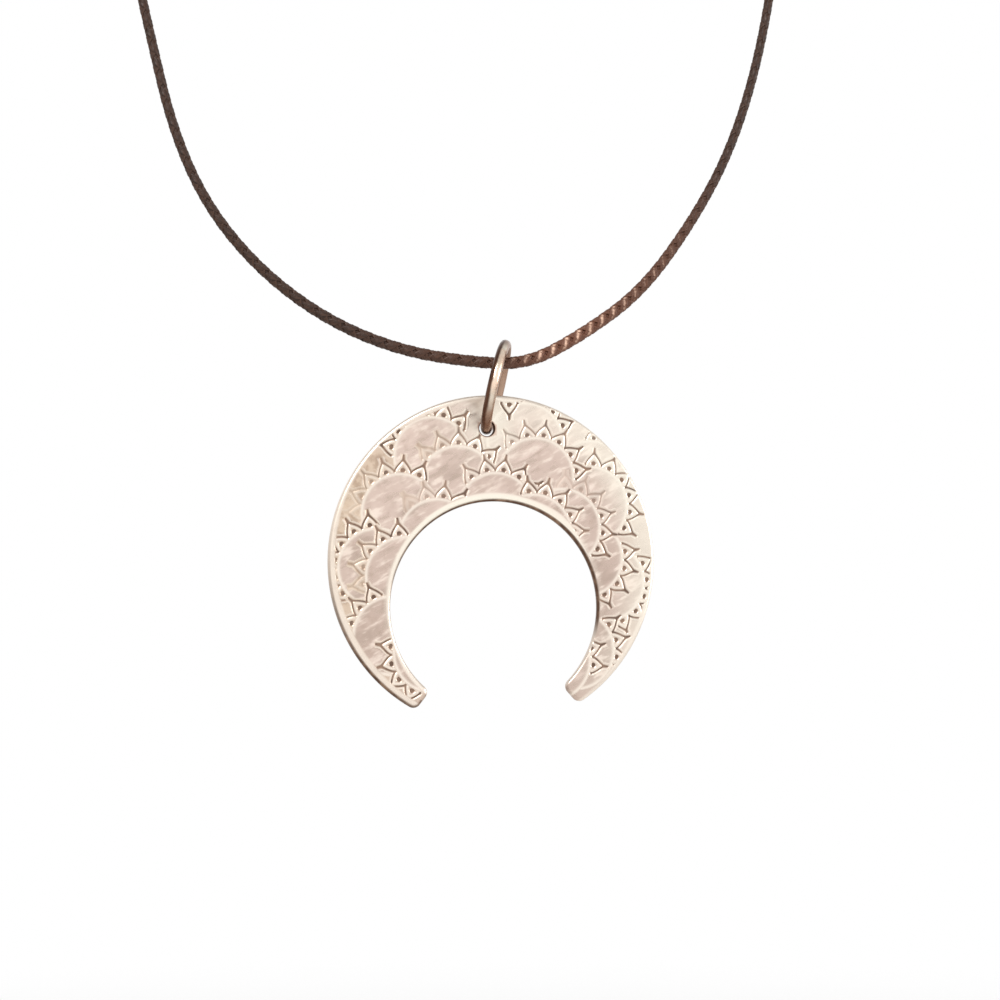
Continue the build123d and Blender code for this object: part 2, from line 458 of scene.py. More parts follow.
def make_camera():
    """The camera, which looks at the middle of the picture from the photograph's side."""
    low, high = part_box("moon_pendant")
    target = Vector((PICTURE_CENTRE_X, (low.y + high.y) / 2, PICTURE_CENTRE_Z))
    distance = PICTURE_PIXELS * PIXEL * CAMERA_LENS / CAMERA_SENSOR
    azimuth = math.radians(CAMERA_AZIMUTH)
    elevation = math.radians(CAMERA_ELEVATION)
    level = math.cos(elevation)
    away = Vector((math.sin(azimuth) * level, -math.cos(azimuth) * level, math.sin(elevation)))
    data = bpy.data.cameras.new("camera")
    data.lens = CAMERA_LENS
    data.sensor_width = CAMERA_SENSOR
    camera = bpy.data.objects.new("camera", data)
    camera.location = target + away * distance
    camera.rotation_euler = (-away).to_track_quat("-Z", "Y").to_euler()
    bpy.context.scene.collection.objects.link(camera)
    bpy.context.scene.camera = camera


def make_object(name, vertices, faces, body):
    """A smooth mesh piece that rides on a body."""
    mesh = bpy.data.meshes.new(name)
    mesh.from_pydata([tuple(v) for v in vertices], [], faces)
    mesh.shade_smooth()
    mesh.validate()
    piece = bpy.data.objects.new(name, mesh)
    bpy.context.scene.collection.objects.link(piece)
    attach(piece, body)
    return piece


def set_attribute(piece, name, values):
    """A number for each of the piece's points, which its material reads."""
    attribute = piece.data.attributes.new(name, "FLOAT", "POINT")
    attribute.data.foreach_set("value", np.asarray(values, np.float32))


def route_line():
    """Points along the smooth line of the cord's route, read from its NURBS spline."""
    flat = [(-CORD_EXIT, 0.0), *ROUTE, (CORD_EXIT, 0.0)]
    curve = bpy.data.curves.new("cord_route", "CURVE")
    curve.dimensions = "3D"
    curve.resolution_u = ROUTE_FINENESS
    spline = curve.splines.new("NURBS")
    spline.points.add(len(flat) - 1)
    for point, (x, z) in zip(spline.points, flat):
        point.co = (x * MM, z * LOOP_LEAN / LOOP_DROP * MM, z * MM, 1.0)
    spline.order_u = ROUTE_ORDER
    spline.use_endpoint_u = True
    guide = bpy.data.objects.new("cord_route", curve)
    mesh = bpy.data.meshes.new_from_object(guide)
    line = np.array([v.co for v in mesh.vertices])
    bpy.data.objects.remove(guide)
    bpy.data.meshes.remove(mesh)
    return line


def even_points(line, step):
    """The line's points at even steps, with how far along it each one is."""
    lengths = np.linalg.norm(np.diff(line, axis=0), axis=1)
    along = np.concatenate([[0.0], np.cumsum(lengths)])
    places = np.linspace(0.0, along[-1], round(along[-1] / step) + 1)
    points = np.stack([np.interp(places, along, line[:, axis]) for axis in range(3)], 1)
    return points, places


def carried_frames(points):
    """Two directions across the line at each point, carried along it without twist."""
    tangents = np.gradient(points, axis=0)
    tangents /= np.linalg.norm(tangents, axis=1)[:, None]
    side = np.cross(tangents[0], (0.0, 0.0, 1.0))
    sides = []
    for tangent in tangents:
        side = side - tangent * side.dot(tangent)
        side /= np.linalg.norm(side)
        sides.append(side)
    sides = np.array(sides)
    return sides, np.cross(tangents, sides)


def tube_faces(rings, sides, first):
    """The faces of a tube of rings of points, with a fan of faces over each end."""
    faces = []
    for ring in range(rings - 1):
        for side in range(sides):
            a = first + ring * sides + side
            b = first + ring * sides + (side + 1) % sides
            faces.append((a, a + sides, b + sides, b))
    last = first + (rings - 1) * sides
    faces.append(tuple(first + side for side in range(sides)))
    faces.append(tuple(last + side for side in reversed(range(sides))))
    return faces


def smooth(low, high, value):
    """A smooth step from 0 at one value to 1 at another."""
    share = np.clip((value - low) / (high - low), 0, 1)
    return share * share * (3 - 2 * share)


def bell(value, width):
    """A smooth bump that is 1 at zero."""
    return np.exp(-((value / width) ** 2))


def bells(value, table):
    """Smooth bumps added up, from rows of a middle, a half width and a height."""
    return sum(height * bell(value - middle, width) for middle, width, height in table)


def fullness(points):
    """How full the plait lies at each point, as a share: drawn thin high up, full at the ring."""
    across, up = points[:, 0] / MM, points[:, 2] / MM
    return LEAST_FULLNESS + smooth(*FULL_LEVELS, up) * bells(across, FULL_STRETCHES)


def copper_sheen_share(points):
    """How far the strands show a painted copper sheen at each point, most on the right beside the
    ring.
    """
    across, up = points[:, 0] / MM, points[:, 2] / MM
    return smooth(*COPPER_SHEEN_LEVELS, up) * bells(across, COPPER_SHEEN_STRETCHES)


def strand_turns():
    """Angles round a strand, one for each of its sides."""
    return np.arange(STRAND_SIDES) * 2 * math.pi / STRAND_SIDES


def tube_rings(centres, out, beside, half_thickness, half_width):
    """Rings of points round a line, each an oval with one axis out and the other beside."""
    around = strand_turns()
    thickness = half_thickness * np.cos(around)[None, :, None] * out[:, None]
    width = half_width * np.sin(around)[None, :, None] * beside[:, None]
    return centres[:, None] + (thickness + width)


def plait(points, places):
    """The strands and core of the plait along a line, each as its rings of points, and for each
    point its fibre's turn, its painted shade, its painted glint and how far it shows the painted
    copper sheen."""
    across, over = carried_frames(points)
    rate = 2 * math.pi / PLAIT_TURN
    full = fullness(points)
    copper = copper_sheen_share(points)
    ridge = bell(np.sin(strand_turns() / 2), GLINT_HALF_WIDTH)
    tubes = []
    for way, start, shade, glint in STRANDS:
        angle = way * rate * places + start * 2 * math.pi
        radius = STRAND_PATH_RADIUS - way * STRAND_WEAVE * np.cos(2 * rate * places)
        out = across * np.cos(angle)[:, None] + over * np.sin(angle)[:, None]
        beside = over * np.cos(angle)[:, None] - across * np.sin(angle)[:, None]
        centres = points + out * (radius * full)[:, None]
        half_thickness = STRAND_HALF_THICKNESS * full[:, None, None]
        half_width = STRAND_HALF_WIDTH * full[:, None, None]
        rings = tube_rings(centres, out, beside, half_thickness, half_width)
        thread = np.add.outer(way * rate * places, strand_turns()) * STRAND_FIBRES
        # Painted glints along each strand's ridge where the copper sheen shows, more on top
        lit = copper * glint * (GLINT_SHARE + GLINT_MORE_ABOVE * out[:, 2])
        warm = np.repeat(copper, STRAND_SIDES)
        tubes.append((rings, thread, np.full(warm.shape, shade), np.outer(lit, ridge), warm))
    core = slice(None, None, STRAND_SIDES)
    rings = tube_rings(points[core], across[core], over[core], CORE_RADIUS, CORE_RADIUS)
    warm = np.repeat(copper[core], STRAND_SIDES)
    none = np.zeros(warm.shape)
    tubes.append((rings, none, np.full(warm.shape, CORE_SHADE), none, warm))
    return tubes


def make_cord():
    """The plaited cord: flat strands that weave over and under each other round a core."""
    line = route_line()
    tubes = plait(*even_points(line, PLAIT_STEP))
    vertices = []
    faces = []
    for rings, *_ in tubes:
        faces += tube_faces(len(rings), STRAND_SIDES, sum(len(v) for v in vertices))
        vertices.append(rings.reshape(-1, 3))
    cord = make_object("plaited_cord", np.concatenate(vertices), faces, "cord")
    # shade holds painted light and shade, shine the painted glints and warm the painted copper
    # sheen
    for number, name in enumerate(("thread", "shade", "shine", "warm"), 1):
        set_attribute(cord, name, np.concatenate([tube[number].ravel() for tube in tubes]))
    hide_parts("cord")
    return cord


def make_ring():
    """The jump ring, with how far each point lies to the wire's left or right and on its inside,
    and how far it takes the painted highlight."""
    low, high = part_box("jump_ring")
    centre = np.array((low + high) / 2)
    lean = math.radians(RING_LEAN)
    turn = math.radians(RING_TURN)
    up = np.array([math.sin(lean), 0, math.cos(lean)])
    across = np.array([math.cos(lean), 0, -math.sin(lean)])
    normal = across * math.cos(turn) + np.array([0, 1, 0]) * math.sin(turn)
    level = np.cross(normal, up)
    round_ring = np.arange(RING_STEPS) * 2 * math.pi / RING_STEPS
    round_wire = np.arange(WIRE_STEPS) * 2 * math.pi / WIRE_STEPS
    out = np.cos(round_ring)[:, None] * up + np.sin(round_ring)[:, None] * level
    reach = (RING_OUTER_DIAMETER - RING_WIRE) / 2 + RING_WIRE / 2 * np.cos(round_wire)
    beside = RING_WIRE / 2 * np.sin(round_wire)
    points = centre + reach[None, :, None] * out[:, None] + beside[None, :, None] * normal
    faces = []
    for k in range(RING_STEPS):
        for m in range(WIRE_STEPS):
            a = k * WIRE_STEPS + m
            b = k * WIRE_STEPS + (m + 1) % WIRE_STEPS
            step = WIRE_STEPS if k < RING_STEPS - 1 else -k * WIRE_STEPS
            faces.append((a, a + step, b + step, b))
    ring = make_object("copper_ring", points.reshape(-1, 3), faces, "ring")
    set_attribute(ring, "flank", np.tile(np.sin(round_wire), RING_STEPS))
    set_attribute(ring, "inside", np.tile(-np.cos(round_wire), RING_STEPS))
    # Painted highlight along the ring, fading out at its foot and at its tip
    ring_highlight = smooth(*RING_HIGHLIGHT_FROM, np.cos(round_ring)) * smooth(*RING_HIGHLIGHT_UP_TO, np.cos(round_ring))
    set_attribute(ring, "ring_highlight", np.repeat(ring_highlight, WIRE_STEPS))
    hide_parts("jump_ring")
    return ring


def moon_sizes():
    """The disc's radius, the bore's radius and how far its centre lies below the disc's."""
    low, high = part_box("moon_pendant")
    diameter = (high.x - low.x) / MM
    bore_radius = (diameter - METAL_ABOVE_BORE - METAL_BELOW_BORE) / 2
    return diameter / 2, bore_radius, (METAL_ABOVE_BORE - METAL_BELOW_BORE) / 2


def arc(centre, radius, start, end, facing=1):
    """Points along an arc between two angles, each with the direction out of the metal."""
    count = max(2, math.ceil(abs(end - start) * radius / RIM_SPACING))
    turn = np.linspace(start, end, count + 1)
    out = np.stack([np.cos(turn), np.sin(turn)], 1)
    return np.hstack([np.asarray(centre) + radius * out, facing * out])


def moon_outline():
    """The moon's outline against the clock, each point with the direction out of the metal."""
    radius, bore_radius, drop = moon_sizes()
    half = math.radians(MOUTH_HALF_ANGLE)
    bore = np.array([0.0, -drop])
    along = np.array([math.sin(half), -math.cos(half)])
    inward = np.array([math.cos(half), math.sin(half)])
    start = bore + inward * HORN_CORNER
    inner = start + along * math.sqrt((bore_radius + HORN_CORNER) ** 2 - HORN_CORNER**2)
    push = along.dot(start)
    reach = (radius - HORN_CORNER) ** 2 - start.dot(start)
    outer = start + along * (math.sqrt(push**2 + reach) - push)
    inner_angle = math.atan2(*(inner - bore)[::-1])
    outer_angle = math.atan2(*outer[::-1])
    cut_angle = math.pi + half
    ends = np.array([inner, outer]) - inward * HORN_CORNER
    steps = np.linspace(0, 1, math.ceil(np.linalg.norm(ends[1] - ends[0]) / RIM_SPACING) + 1)
    cut = ends[0] + steps[:, None] * (ends[1] - ends[0])
    right = [
        arc(bore, bore_radius, math.pi / 2, inner_angle, -1),
        arc(inner, HORN_CORNER, inner_angle + math.pi, cut_angle)[1:],
        np.hstack([cut, np.tile(-inward, (len(cut), 1))])[1:],
        arc(outer, HORN_CORNER, cut_angle, outer_angle + 2 * math.pi)[1:],
        arc((0.0, 0.0), radius, outer_angle, math.pi / 2)[1:],
    ]
    right = np.concatenate(right)
    left = right[::-1] * np.array([-1, 1, -1, 1])
    return np.concatenate([right, left[1:-1]])


def hole_outline():
    """The hanging hole's outline with the clock, with the direction out of the metal."""
    centre = (HOLE_OFFSET, moon_sizes()[0] - HOLE_TO_EDGE)
    return arc(centre, HOLE_DIAMETER / 2, 2 * math.pi, 0.0, -1)[:-1]


def rounded_rows(outline, rounding, half_thickness):
    """Rows of points over a rim, from its inner edge on the front to that on the back, as
    across, up and back, with how far each row faces the front and how far it is on the edge."""
    rows = []
    lean = np.linspace(0, math.pi / 2, ROUND_STEPS + 1)
    for side, turns in ((-1, lean), (1, lean[::-1])):
        for turn in turns:
            inset = rounding * (1 - math.sin(turn))
            depth = side * (half_thickness - rounding * (1 - math.cos(turn)))
            place = outline[:, :2] - inset * outline[:, 2:]
            row = np.column_stack([place, np.full(len(place), depth)])
            rows.append((row, max(0.0, -side * math.cos(turn)), math.sin(turn)))
    return rows


def fill(loops, inner):
    """Triangles between closed loops of points over the points within, as numbers of the
    points with the loops' first."""
    points = np.concatenate([*loops, inner])
    edges = []
    first = 0
    for loop in loops:
        edges += [(first + k, first + (k + 1) % len(loop)) for k in range(len(loop))]
        first += len(loop)
    flat = [Vector(p) for p in points]
    _, _, faces, origins, _, _ = delaunay_2d_cdt(flat, edges, [], INSIDE_ONLY, SAME_POINT)
    return [tuple(origins[k][0] for k in face) for face in faces]


def rim_distance(across, up):
    """How far a place lies from the outer edge and from the bore."""
    radius, bore_radius, drop = moon_sizes()
    return radius - np.hypot(across, up), np.hypot(across, up + drop) - bore_radius


def hole_distance(across, up):
    """How far a place lies from the hanging hole's rim."""
    radius = moon_sizes()[0]
    return np.hypot(across - HOLE_OFFSET, up - radius + HOLE_TO_EDGE) - HOLE_DIAMETER / 2


def bearings(across, up):
    """The bearing of a place in degrees clockwise from up, seen from the disc's centre and from
    the bore's."""
    drop = moon_sizes()[2]
    return np.degrees(np.arctan2(across, up)), np.degrees(np.arctan2(across, up + drop))


def towards(bearing, direction):
    """How far a bearing faces a direction: 1 straight at it, 0 from a right angle on."""
    return np.clip(np.cos(np.radians(bearing - direction)), 0, 1)


def lattice(spacing, margin):
    """Square lattice over the moon's face, and which of its points are clear of the rims."""
    radius, _, drop = moon_sizes()
    ticks = np.arange(-radius, radius, spacing)
    across, up = np.meshgrid(ticks, ticks, indexing="ij")
    outer, bore = rim_distance(across, up)
    half = math.radians(MOUTH_HALF_ANGLE)
    cut = np.abs(across) * math.cos(half) + (up + drop) * math.sin(half)
    cut = np.where(up + drop < 0, cut, margin + spacing)
    hole = hole_distance(across, up) + EDGE_ROUND - HOLE_ROUND
    near = np.minimum.reduce([outer, bore, cut, hole])
    return across, up, near > margin + spacing / 2


def petal_marks(ahead, beside, radius, gap):
    """A petal's dark lines, dot and feet, its bright arch and its burr, from 0 to 1."""
    length = PETAL_SHOULDER - PETAL_FOOT
    share = np.clip((ahead - PETAL_FOOT) / length, 0, 1)
    half_width = PETAL_WIDTH / 2 * (1 - share**PETAL_POWER)
    slope = PETAL_WIDTH / 2 * PETAL_POWER * share ** (PETAL_POWER - 1) / length
    outside = (np.abs(beside) - half_width) / np.hypot(1, slope)
    taper = np.clip((ahead - PETAL_SHOULDER) / (PETAL_TIP - PETAL_SHOULDER), 0, 1)
    swell = smooth(PETAL_SHOULDER - SPIKE_SWELL, PETAL_SHOULDER, ahead)
    width = LINE_HALF_WIDTH + (SPIKE_HALF_WIDTH - LINE_HALF_WIDTH) * swell
    width = width * (1 - SPIKE_TAPER * taper)
    out_of_disc = smooth(DISC_RADIUS - MARK_EDGE, DISC_RADIUS + MARK_EDGE, radius)
    reach = smooth(PETAL_TIP + MARK_EDGE, PETAL_TIP - 2 * MARK_EDGE, ahead)
    line = bell(outside, width) * reach * out_of_disc
    squashed = np.where(ahead < DOT_PLACE, DOT_SQUASH, 1.0) * (ahead - DOT_PLACE)
    dot = smooth(*DOT_EDGE, np.hypot(beside, squashed) / DOT_RADIUS) * out_of_disc
    node = bell(np.hypot(gap, radius - DOT_PLACE), NODE_RADIUS)
    arch = bell(-outside - ARCH_PLACE, ARCH_WIDTH) * (outside < 0) * (1 - dot) * out_of_disc
    burr = bell(outside - BURR_PLACE, BURR_WIDTH) * (outside > 0) * reach * out_of_disc
    return np.maximum.reduce([line, dot, node]), arch, burr, outside


def stamped_face(across, up):
    """The stamped front at each place: its height over the plain face, how dark it is, how bright
    its raised edges and rim bands are, partly polish and partly painted highlight, and how far it
    lies within a smooth disc, with that disc's tone."""
    scale = moon_sizes()[0]
    height, dark, bright, disc, tone = (np.zeros(across.shape) for _ in range(5))
    for number, (place_x, place_y, facing, petals, first, last) in enumerate(STAMPS):
        dx = across - place_x * scale
        dy = up - place_y * scale
        radius = np.hypot(dx, dy)
        turn = (np.degrees(np.arctan2(dx, dy)) - facing + 180) % 360 - 180
        middle = (petals - 1) / 2
        petal = np.clip(np.round(turn / PETAL_PITCH + middle), 0, max(petals - 1, 0))
        local = np.radians(turn - (petal - middle) * PETAL_PITCH)
        ahead = radius * np.cos(local)
        beside = radius * np.sin(local)
        gap = radius * (np.abs(local) - math.radians(PETAL_PITCH / 2))
        marks, arch, burr, outside = petal_marks(ahead, beside, radius, gap)
        force = (first + (last - first) * petal / max(petals - 1, 1)) * (petals > 0)
        near_line = (outside < PETAL_REACH) & (np.abs(local) < PETAL_TURN)
        in_petal = near_line & (ahead < PETAL_TIP) & (petals > 0)
        in_disc = radius < DISC_RADIUS
        struck = in_disc | (in_petal & (force > LEAST_FORCE))
        lip = bell(radius - DISC_RADIUS + LIP_PLACE, LIP_WIDTH) * in_disc * (petals > 0)
        dish = smooth(DISC_RADIUS, DISC_RADIUS - DISH_EDGE, radius)
        relief = (ARCH_HEIGHT * arch + BURR_HEIGHT * burr - LINE_DEPTH * marks) * force
        relief = relief + LIP_HEIGHT * lip - DISH_DEPTH * dish
        shine = np.maximum.reduce([arch * force, BURR_SHINE * burr * force, LIP_SHINE * lip])
        own_tone = TONE_MIDDLE + TONE_UP * place_y + TONE_ACROSS * place_x
        own_tone += TONE_SPREAD * (number * TONE_STEP % 1)
        height = np.where(struck, relief, height)
        dark = np.where(struck, marks * force * ~in_disc, dark)
        bright = np.where(struck, shine, bright)
        disc = np.where(struck, smooth(DISC_RADIUS, DISC_RADIUS - DISC_FADE, radius), disc)
        tone = np.where(struck, own_tone, tone)
    plain, on_bore = plain_share(across, up)
    # The plain bands along the rims are painted bright: partly polish, partly painted highlight
    band = np.where(on_bore, 1.0, OUTER_BAND_SHINE) * (1 - plain)
    return height * plain, dark * plain, np.maximum(bright * plain, band), disc * plain, tone


def plain_share(across, up):
    """How far each place is clear of the plain bands along the rims, and whether the bore's
    rim is the nearer one."""
    outer, bore = rim_distance(across, up)
    bearing, bore_bearing = bearings(across, up)
    swells = sum(w * towards(bearing, at) ** sharp for at, sharp, w in OUTER_SWELLS)
    outer_clear = smooth(-BAND_FADE, BAND_FADE, outer - OUTER_BAND - swells)
    bore_border = BORE_BAND + bells(bore_bearing, BORE_SWELLS)
    bore_clear = smooth(-BAND_FADE, BAND_FADE, bore - bore_border)
    return np.minimum(outer_clear, bore_clear), bore < outer


def edge_painted_shade(across, up, edge):
    """How far each place takes painted shade in brown, from how far it is on the edge: round the
    top and right of the bore, at the lower left of the outer rim and in the hanging hole."""
    outer, bore = rim_distance(across, up)
    bearing, bore_bearing = bearings(across, up)
    broad = bell(bore_bearing - BORE_SHADE_BEARING, BORE_SHADE_SPREAD)
    bore_start = BORE_SHADE_START * (1 - broad)
    inner = smooth(bore_start, BORE_SHADE_FULL - BORE_SHADE_SOONER * broad, edge)
    between = smooth(*BORE_SHADE_RIGHT, bore_bearing) * smooth(*BORE_SHADE_LEFT, bore_bearing)
    inner *= BORE_SHADE_LEAST + (1 - BORE_SHADE_LEAST) * between
    lower_left = towards(bearing, RIM_SHADE_BEARING) ** RIM_SHADE_SHARPNESS
    sooner = RIM_SHADE_SOONER * lower_left
    rim = lower_left * smooth(RIM_SHADE_START - sooner, RIM_SHADE_FULL - sooner, edge)
    in_hole = hole_distance(across, up) < EDGE_ROUND
    return np.where(in_hole, smooth(*HOLE_SHADE, edge), np.where(bore < outer, inner, rim))


def left_painted_shade(across, up):
    """How far the plain face takes painted shade in tan, towards the left of the rim."""
    reach = smooth(*TAN_REACH, np.hypot(across, up) / moon_sizes()[0])
    return towards(bearings(across, up)[0], TAN_BEARING) * reach


def glow(across, up):
    """How far the face is lightened: painted light along the right of the rim, and burnish with
    painted highlight beside the hanging hole and round the top of the bore."""
    radius = moon_sizes()[0]
    bearing, bore_bearing = bearings(across, up)
    reach = smooth(*LIT_RIGHT_REACH, np.hypot(across, up) / radius)
    right = reach * towards(bearing, LIT_RIGHT_BEARING)
    hole = bell(np.hypot(across, up - radius + HOLE_TO_EDGE), HOLE_BURNISH_AND_LIGHT_SPREAD)
    lip = smooth(*BORE_BURNISH_AND_LIGHT_REACH, rim_distance(across, up)[1])
    lip *= bell(bore_bearing - BORE_BURNISH_AND_LIGHT_BEARING, BORE_BURNISH_AND_LIGHT_SPREAD)
    return np.clip(LIT_RIGHT * right + HOLE_BURNISH_AND_LIGHT * hole + lip, 0, 1)


def front_points():
    """Points over the moon's front within its rims: close together where the stamps change its
    height or finish, and far apart elsewhere."""
    across, up, clear = lattice(FINE_SPACING, EDGE_ROUND)
    height, dark, bright, _, _ = stamped_face(across, up)
    busy = dark + bright + np.abs(height) * RELIEF_WEIGHT
    change = np.zeros(busy.shape)
    change[1:-1, 1:-1] = np.abs(busy[2:, 1:-1] - busy[:-2, 1:-1])
    change[1:-1, 1:-1] += np.abs(busy[1:-1, 2:] - busy[1:-1, :-2])
    fine = change > FINE_CHANGE
    fine[1:-1, 1:-1] |= fine[2:, 1:-1] | fine[:-2, 1:-1] | fine[1:-1, 2:] | fine[1:-1, :-2]
    fine[::COARSE_STEP, ::COARSE_STEP] = True
    return np.stack([across[clear & fine], up[clear & fine]], 1)


def cover(rows, starts, ends, inner, inner_start):
    """Triangles over one side of the moon, between the two rows that end its rim and its hole."""
    loops = [rows[end] for end in ends]
    numbers = [starts[end] + np.arange(len(rows[end])) for end in ends]
    numbers = np.concatenate([*numbers, inner_start + np.arange(len(inner))])
    hole = range(len(loops[0]), len(loops[0]) + len(loops[1]))
    faces = fill([loop[:, :2] for loop in loops], inner)
    faces = [face for face in faces if not all(k in hole for k in face)]
    return [tuple(int(numbers[k]) for k in face) for face in faces]


def moon_shell(half_thickness):
    """The moon before it is stamped: its points as across, up and back, its faces, and for each
    point how far it faces the front and how far it is on a rounded edge."""
    rim = rounded_rows(moon_outline(), EDGE_ROUND, half_thickness)
    hole = rounded_rows(hole_outline(), HOLE_ROUND, half_thickness)
    rows = [row for row, _, _ in rim + hole]
    front = front_points()
    across, up, clear = lattice(BACK_SPACING, EDGE_ROUND)
    back = np.stack([across[clear], up[clear]], 1)
    starts = np.cumsum([0] + [len(row) for row in rows] + [len(front)])
    faces = []
    for j in (*range(len(rim) - 1), *range(len(rim), len(rows) - 1)):
        count = len(rows[j])
        a, b = starts[j], starts[j + 1]
        faces += [(a + k, b + k, b + (k + 1) % count, a + (k + 1) % count) for k in range(count)]
    faces += cover(rows, starts, (0, len(rim)), front, starts[-2])
    back_faces = cover(rows, starts, (len(rim) - 1, len(rows) - 1), back, starts[-1])
    faces += [face[::-1] for face in back_faces]
    flat_front = np.column_stack([front, np.full(len(front), -half_thickness)])
    flat_back = np.column_stack([back, np.full(len(back), half_thickness)])
    facing = [np.full(len(row), share) for row, share, _ in rim]
    facing += [np.zeros(len(row)) for row, _, _ in hole]
    facing += [np.ones(len(front)), np.zeros(len(back))]
    edge = [np.full(len(row), share) for row, _, share in rim + hole]
    edge += [np.zeros(len(front) + len(back))]
    points = np.concatenate([*rows, flat_front, flat_back])
    return points, faces, np.concatenate(facing), np.concatenate(edge)


def hang(points):
    """The moon's points in the scene, placed by the solid's box and tilted as it hangs."""
    low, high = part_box("moon_pendant")
    tilt = math.radians(MOON_TILT)
    across, up, back = points.T
    x = (low.x + high.x) / 2 + (across * math.cos(tilt) - up * math.sin(tilt)) * MM
    y = (low.y + high.y) / 2 + back * MM
    centre_z = high.z - (high.x - low.x) / 2
    z = centre_z + (across * math.sin(tilt) + up * math.cos(tilt)) * MM
    return np.column_stack([x, y, z])


def make_moon():
    """The stamped crescent, with its front relief, rounded rims, hanging hole and plain back."""
    low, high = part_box("moon_pendant")
    points, faces, facing, edge = moon_shell((high.y - low.y) / 2 / MM)
    across, up = points[:, 0], points[:, 1]
    height, dark, bright, disc, tone = stamped_face(across, up)
    points[:, 2] -= height * facing
    moon = make_object("crescent_moon", hang(points), faces, "moon")
    set_attribute(moon, "dark", dark * facing)
    # Bright edges and bands: partly polish, partly painted highlight
    set_attribute(moon, "bright", np.where(facing > 0, bright, 0.0))
    set_attribute(moon, "disc", disc * facing)
    set_attribute(moon, "tone", tone)
    # Painted shade in brown on the edges and in the hanging hole
    set_attribute(moon, "edge", edge_painted_shade(across, up, edge))
    # Painted light to the right, burnish and painted highlight by the hole and bore
    set_attribute(moon, "glow", glow(across, up) * facing)
    # Painted shade in tan towards the left
    set_attribute(moon, "left_painted_shade", left_painted_shade(across, up))
    set_attribute(moon, "back", facing == 0)
    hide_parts("moon_pendant")
    return moon


def rgb(red, green, blue):
    """A colour from screen values of 0 to 255."""
    levels = [level / 255 for level in (red, green, blue)]
    linear = [v / 12.92 if v <= 0.04045 else ((v + 0.055) / 1.055) ** 2.4 for v in levels]
    return (*linear, 1.0)


class Finish:
    """A node material or sky under construction, with short calls that add and join its nodes."""

    def __init__(self, owner, shader="Principled BSDF"):
        self.owner = owner
        self.owner.use_nodes = True
        self.tree = self.owner.node_tree
        self.shader = self.tree.nodes[shader]

    def put(self, socket, value):
        """Give a socket a number, a colour or another node's output."""
        if isinstance(value, bpy.types.NodeSocket):
            self.tree.links.new(value, socket)
        else:
            socket.default_value = value

    def node(self, kind, inputs=(), **settings):
        """A new node with its settings and inputs, by name or number."""
        node = self.tree.nodes.new("ShaderNode" + kind)
        for name, value in settings.items():
            setattr(node, name, value)
        for name, value in inputs:
            self.put(node.inputs[name], value)
        return node

    def attribute(self, name):
        """A number that the mesh holds for each point."""
        return self.node("Attribute", attribute_name=name).outputs["Fac"]

    def math(self, operation, a, b=0.0):
        """The result of one sum."""
        return self.node("Math", [(0, a), (1, b)], operation=operation).outputs[0]

    def times(self, value, share):
        """A value times a share."""
        return self.math("MULTIPLY", value, share)

    def blend(self, share, a, b):
        """A colour between two colours, each in screen values or another node's output."""
        a, b = (rgb(*colour) if isinstance(colour, tuple) else colour for colour in (a, b))
        node = self.node("Mix", [(0, share), (6, a), (7, b)], data_type="RGBA")
        return node.outputs[2]

    def run(self, value, start, end, a, b):
        """A colour that runs from one to another while a value runs between two levels."""
        return self.blend(self.range(value, start, end), a, b)

    def lay(self, colour, value, start, full, most, over):
        """A colour with another laid over it where a value passes from one level to another."""
        return self.blend(self.range(value, start, full, 0.0, most), colour, over)

    def number(self, share, a, b):
        """A number between two numbers."""
        node = self.node("Mix", [(0, share), (2, a), (3, b)], data_type="FLOAT")
        return node.outputs[0]

    def noise(self, scale, detail, turn=(0, 0, 0)):
        """Noise over the piece, with a scale for each direction in cycles a metre."""
        place = self.node("TexCoord").outputs["Object"]
        angles = tuple(math.radians(angle) for angle in turn)
        turned = self.node("Mapping", [("Vector", place), ("Rotation", angles)]).outputs[0]
        scaled = self.node("Mapping", [("Vector", turned), ("Scale", scale)]).outputs[0]
        inputs = [("Vector", scaled), ("Scale", 1.0), ("Detail", detail)]
        return self.node("TexNoise", inputs).outputs["Fac"]

    def range(self, value, low, high, to_low=0.0, to_high=1.0):
        """A value carried smoothly from one range to another."""
        inputs = [("Value", value), (1, low), (2, high), (3, to_low), (4, to_high)]
        return self.node("MapRange", inputs, interpolation_type="SMOOTHSTEP").outputs[0]

    def bump(self, height, strength, distance, normal=None):
        """A bumped normal."""
        inputs = [("Height", height), ("Strength", strength), ("Distance", distance)]
        if normal is not None:
            inputs.append(("Normal", normal))
        return self.node("Bump", inputs).outputs[0]

    def finish(self, **values):
        """Set the shader's sockets, and give the material or sky."""
        for name, value in values.items():
            self.put(self.shader.inputs[name.replace("_", " ")], value)
        return self.owner


def new_finish(name):
    """A new node material under construction."""
    return Finish(bpy.data.materials.new(name))


